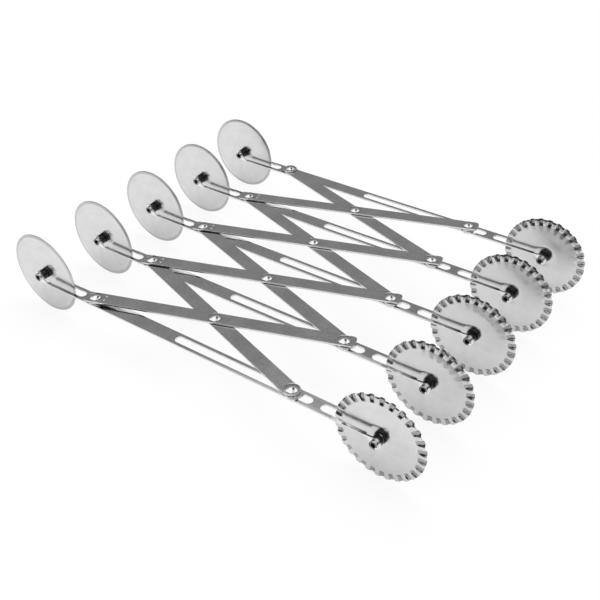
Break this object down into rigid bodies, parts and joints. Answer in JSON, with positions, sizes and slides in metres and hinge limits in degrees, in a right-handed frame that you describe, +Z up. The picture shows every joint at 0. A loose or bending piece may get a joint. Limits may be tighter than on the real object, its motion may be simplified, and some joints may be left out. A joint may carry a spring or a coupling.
{
  "type": "expandable dough cutter",
  "caption": "Expandable dough cutter: parallel forked steel bars on lazy tongs, each with a plain cutting wheel at one end and a fluted wheel at the other; all bars spread together.",
  "frame": {"origin": "on the table, under the middle of the box around the whole part", "axes": "+X along the bars from the plain wheels to the fluted wheels, +Y the way it spreads, +Z up"},
  "size_m": [0.3146, 0.2214, 0.056],
  "materials": {
    "strip_steel": "polished strip",
    "wheel_steel": "satin",
    "rivet_steel": "bright",
    "washer_steel": "plain",
    "spacer_steel": "blackened"
  },
  "bodies": {
    "bar_1": {"carrier_bar_1": "strip_steel", "axle_rivets_1": "rivet_steel", "hub_spacers_1": "spacer_steel", "left_rivet_1": "rivet_steel", "left_head_ring": "washer_steel"},
    "bar_2": {"carrier_bar_2": "strip_steel", "axle_rivets_2": "rivet_steel", "hub_spacers_2": "spacer_steel", "left_rivet_2": "rivet_steel"},
    "bar_3": {"carrier_bar_3": "strip_steel", "axle_rivets_3": "rivet_steel", "hub_spacers_3": "spacer_steel", "left_rivet_3": "rivet_steel"},
    "bar_4": {"carrier_bar_4": "strip_steel", "axle_rivets_4": "rivet_steel", "hub_spacers_4": "spacer_steel", "left_rivet_4": "rivet_steel"},
    "bar_5": {"carrier_bar_5": "strip_steel", "axle_rivets_5": "rivet_steel", "hub_spacers_5": "spacer_steel", "left_rivet_5": "rivet_steel", "left_gap_ring": "washer_steel"},
    "plain_wheel_1": {"plain_wheel_1": "wheel_steel"},
    "fluted_wheel_1": {"fluted_wheel_1": "wheel_steel"},
    "plain_wheel_2": {"plain_wheel_2": "wheel_steel"},
    "fluted_wheel_2": {"fluted_wheel_2": "wheel_steel"},
    "plain_wheel_3": {"plain_wheel_3": "wheel_steel"},
    "fluted_wheel_3": {"fluted_wheel_3": "wheel_steel"},
    "plain_wheel_4": {"plain_wheel_4": "wheel_steel"},
    "fluted_wheel_4": {"fluted_wheel_4": "wheel_steel"},
    "plain_wheel_5": {"plain_wheel_5": "wheel_steel"},
    "fluted_wheel_5": {"fluted_wheel_5": "wheel_steel"},
    "upper_link_1": {"upper_link_1": "strip_steel", "slide_stud_1": "rivet_steel", "slide_washer_1": "washer_steel", "right_gap_ring": "washer_steel"},
    "lower_link_1": {"lower_link_1": "strip_steel", "cross_rivet_1": "rivet_steel"},
    "upper_link_2": {"upper_link_2": "strip_steel", "slide_stud_2": "rivet_steel", "slide_washer_2": "washer_steel"},
    "lower_link_2": {"lower_link_2": "strip_steel", "cross_rivet_2": "rivet_steel"},
    "upper_link_3": {"upper_link_3": "strip_steel", "slide_stud_3": "rivet_steel", "slide_washer_3": "washer_steel"},
    "lower_link_3": {"lower_link_3": "strip_steel", "cross_rivet_3": "rivet_steel"},
    "upper_link_4": {"upper_link_4": "strip_steel", "slide_stud_4": "rivet_steel", "slide_washer_4": "washer_steel"},
    "lower_link_4": {"lower_link_4": "strip_steel", "cross_rivet_4": "rivet_steel", "slide_stud_5": "rivet_steel", "slide_washer_5": "washer_steel", "right_head_ring": "washer_steel"}
  },
  "joints": [
    {"name": "spread", "type": "hinge", "parent": "bar_3", "child": "lower_link_3", "pos_m": [-0.08245, 0, 0.0248], "axis": [0.0255, 0, -0.9997], "range_deg": [-12, 45.4]},
    {"name": "cross_pivot_3", "type": "hinge", "parent": "lower_link_3", "child": "upper_link_3", "pos_m": [-0.00496, -0.026, 0.02677], "axis": [-0.0255, 0, 0.9997], "range_deg": [-24, 90.8]},
    {"name": "left_pivot_4_upper", "type": "hinge", "parent": "upper_link_3", "child": "bar_4", "pos_m": [-0.08245, -0.052, 0.0248], "axis": [0.0255, 0, -0.9997], "range_deg": [-12, 45.4]},
    {"name": "left_pivot_4_lower", "type": "hinge", "parent": "bar_4", "child": "lower_link_4", "pos_m": [-0.08245, -0.052, 0.0248], "axis": [0.0255, 0, -0.9997], "range_deg": [-12, 45.4]},
    {"name": "cross_pivot_4", "type": "hinge", "parent": "lower_link_4", "child": "upper_link_4", "pos_m": [-0.00496, -0.078, 0.02677], "axis": [-0.0255, 0, 0.9997], "range_deg": [-24, 90.8]},
    {"name": "left_pivot_5", "type": "hinge", "parent": "upper_link_4", "child": "bar_5", "pos_m": [-0.08245, -0.104, 0.0248], "axis": [0.0255, 0, -0.9997], "range_deg": [-12, 45.4]},
    {"name": "left_pivot_3_upper", "type": "hinge", "parent": "bar_3", "child": "upper_link_2", "pos_m": [-0.08245, 0, 0.0248], "axis": [-0.0255, 0, 0.9997], "range_deg": [-12, 45.4]},
    {"name": "cross_pivot_2", "type": "hinge", "parent": "upper_link_2", "child": "lower_link_2", "pos_m": [-0.00496, 0.026, 0.02677], "axis": [0.0255, 0, -0.9997], "range_deg": [-24, 90.8]},
    {"name": "left_pivot_2_lower", "type": "hinge", "parent": "lower_link_2", "child": "bar_2", "pos_m": [-0.08245, 0.052, 0.0248], "axis": [-0.0255, 0, 0.9997], "range_deg": [-12, 45.4]},
    {"name": "left_pivot_2_upper", "type": "hinge", "parent": "bar_2", "child": "upper_link_1", "pos_m": [-0.08245, 0.052, 0.0248], "axis": [-0.0255, 0, 0.9997], "range_deg": [-12, 45.4]},
    {"name": "cross_pivot_1", "type": "hinge", "parent": "upper_link_1", "child": "lower_link_1", "pos_m": [-0.00496, 0.078, 0.02677], "axis": [0.0255, 0, -0.9997], "range_deg": [-24, 90.8]},
    {"name": "left_pivot_1", "type": "hinge", "parent": "lower_link_1", "child": "bar_1", "pos_m": [-0.08245, 0.104, 0.0248], "axis": [-0.0255, 0, 0.9997], "range_deg": [-12, 45.4]},
    {"name": "plain_spin_1", "type": "hinge", "parent": "bar_1", "child": "plain_wheel_1", "pos_m": [-0.12934, 0.104, 0.028], "axis": [0, 1, 0], "continuous": true},
    {"name": "fluted_spin_1", "type": "hinge", "parent": "bar_1", "child": "fluted_wheel_1", "pos_m": [0.12934, 0.104, 0.028], "axis": [0, 1, 0], "continuous": true},
    {"name": "plain_spin_2", "type": "hinge", "parent": "bar_2", "child": "plain_wheel_2", "pos_m": [-0.12934, 0.052, 0.028], "axis": [0, 1, 0], "continuous": true},
    {"name": "fluted_spin_2", "type": "hinge", "parent": "bar_2", "child": "fluted_wheel_2", "pos_m": [0.12934, 0.052, 0.028], "axis": [0, 1, 0], "continuous": true},
    {"name": "plain_spin_3", "type": "hinge", "parent": "bar_3", "child": "plain_wheel_3", "pos_m": [-0.12934, 0, 0.028], "axis": [0, 1, 0], "continuous": true},
    {"name": "fluted_spin_3", "type": "hinge", "parent": "bar_3", "child": "fluted_wheel_3", "pos_m": [0.12934, 0, 0.028], "axis": [0, 1, 0], "continuous": true},
    {"name": "plain_spin_4", "type": "hinge", "parent": "bar_4", "child": "plain_wheel_4", "pos_m": [-0.12934, -0.052, 0.028], "axis": [0, 1, 0], "continuous": true},
    {"name": "fluted_spin_4", "type": "hinge", "parent": "bar_4", "child": "fluted_wheel_4", "pos_m": [0.12934, -0.052, 0.028], "axis": [0, 1, 0], "continuous": true},
    {"name": "plain_spin_5", "type": "hinge", "parent": "bar_5", "child": "plain_wheel_5", "pos_m": [-0.12934, -0.104, 0.028], "axis": [0, 1, 0], "continuous": true},
    {"name": "fluted_spin_5", "type": "hinge", "parent": "bar_5", "child": "fluted_wheel_5", "pos_m": [0.12934, -0.104, 0.028], "axis": [0, 1, 0], "continuous": true}
  ],
  "couplings": [
    {"joint": "cross_pivot_3", "follows": "spread", "ratio": 2},
    {"joint": "left_pivot_4_upper", "follows": "spread", "ratio": 1},
    {"joint": "left_pivot_4_lower", "follows": "spread", "ratio": 1},
    {"joint": "cross_pivot_4", "follows": "spread", "ratio": 2},
    {"joint": "left_pivot_5", "follows": "spread", "ratio": 1},
    {"joint": "left_pivot_3_upper", "follows": "spread", "ratio": 1},
    {"joint": "cross_pivot_2", "follows": "spread", "ratio": 2},
    {"joint": "left_pivot_2_lower", "follows": "spread", "ratio": 1},
    {"joint": "left_pivot_2_upper", "follows": "spread", "ratio": 1},
    {"joint": "cross_pivot_1", "follows": "spread", "ratio": 2},
    {"joint": "left_pivot_1", "follows": "spread", "ratio": 1}
  ]
}
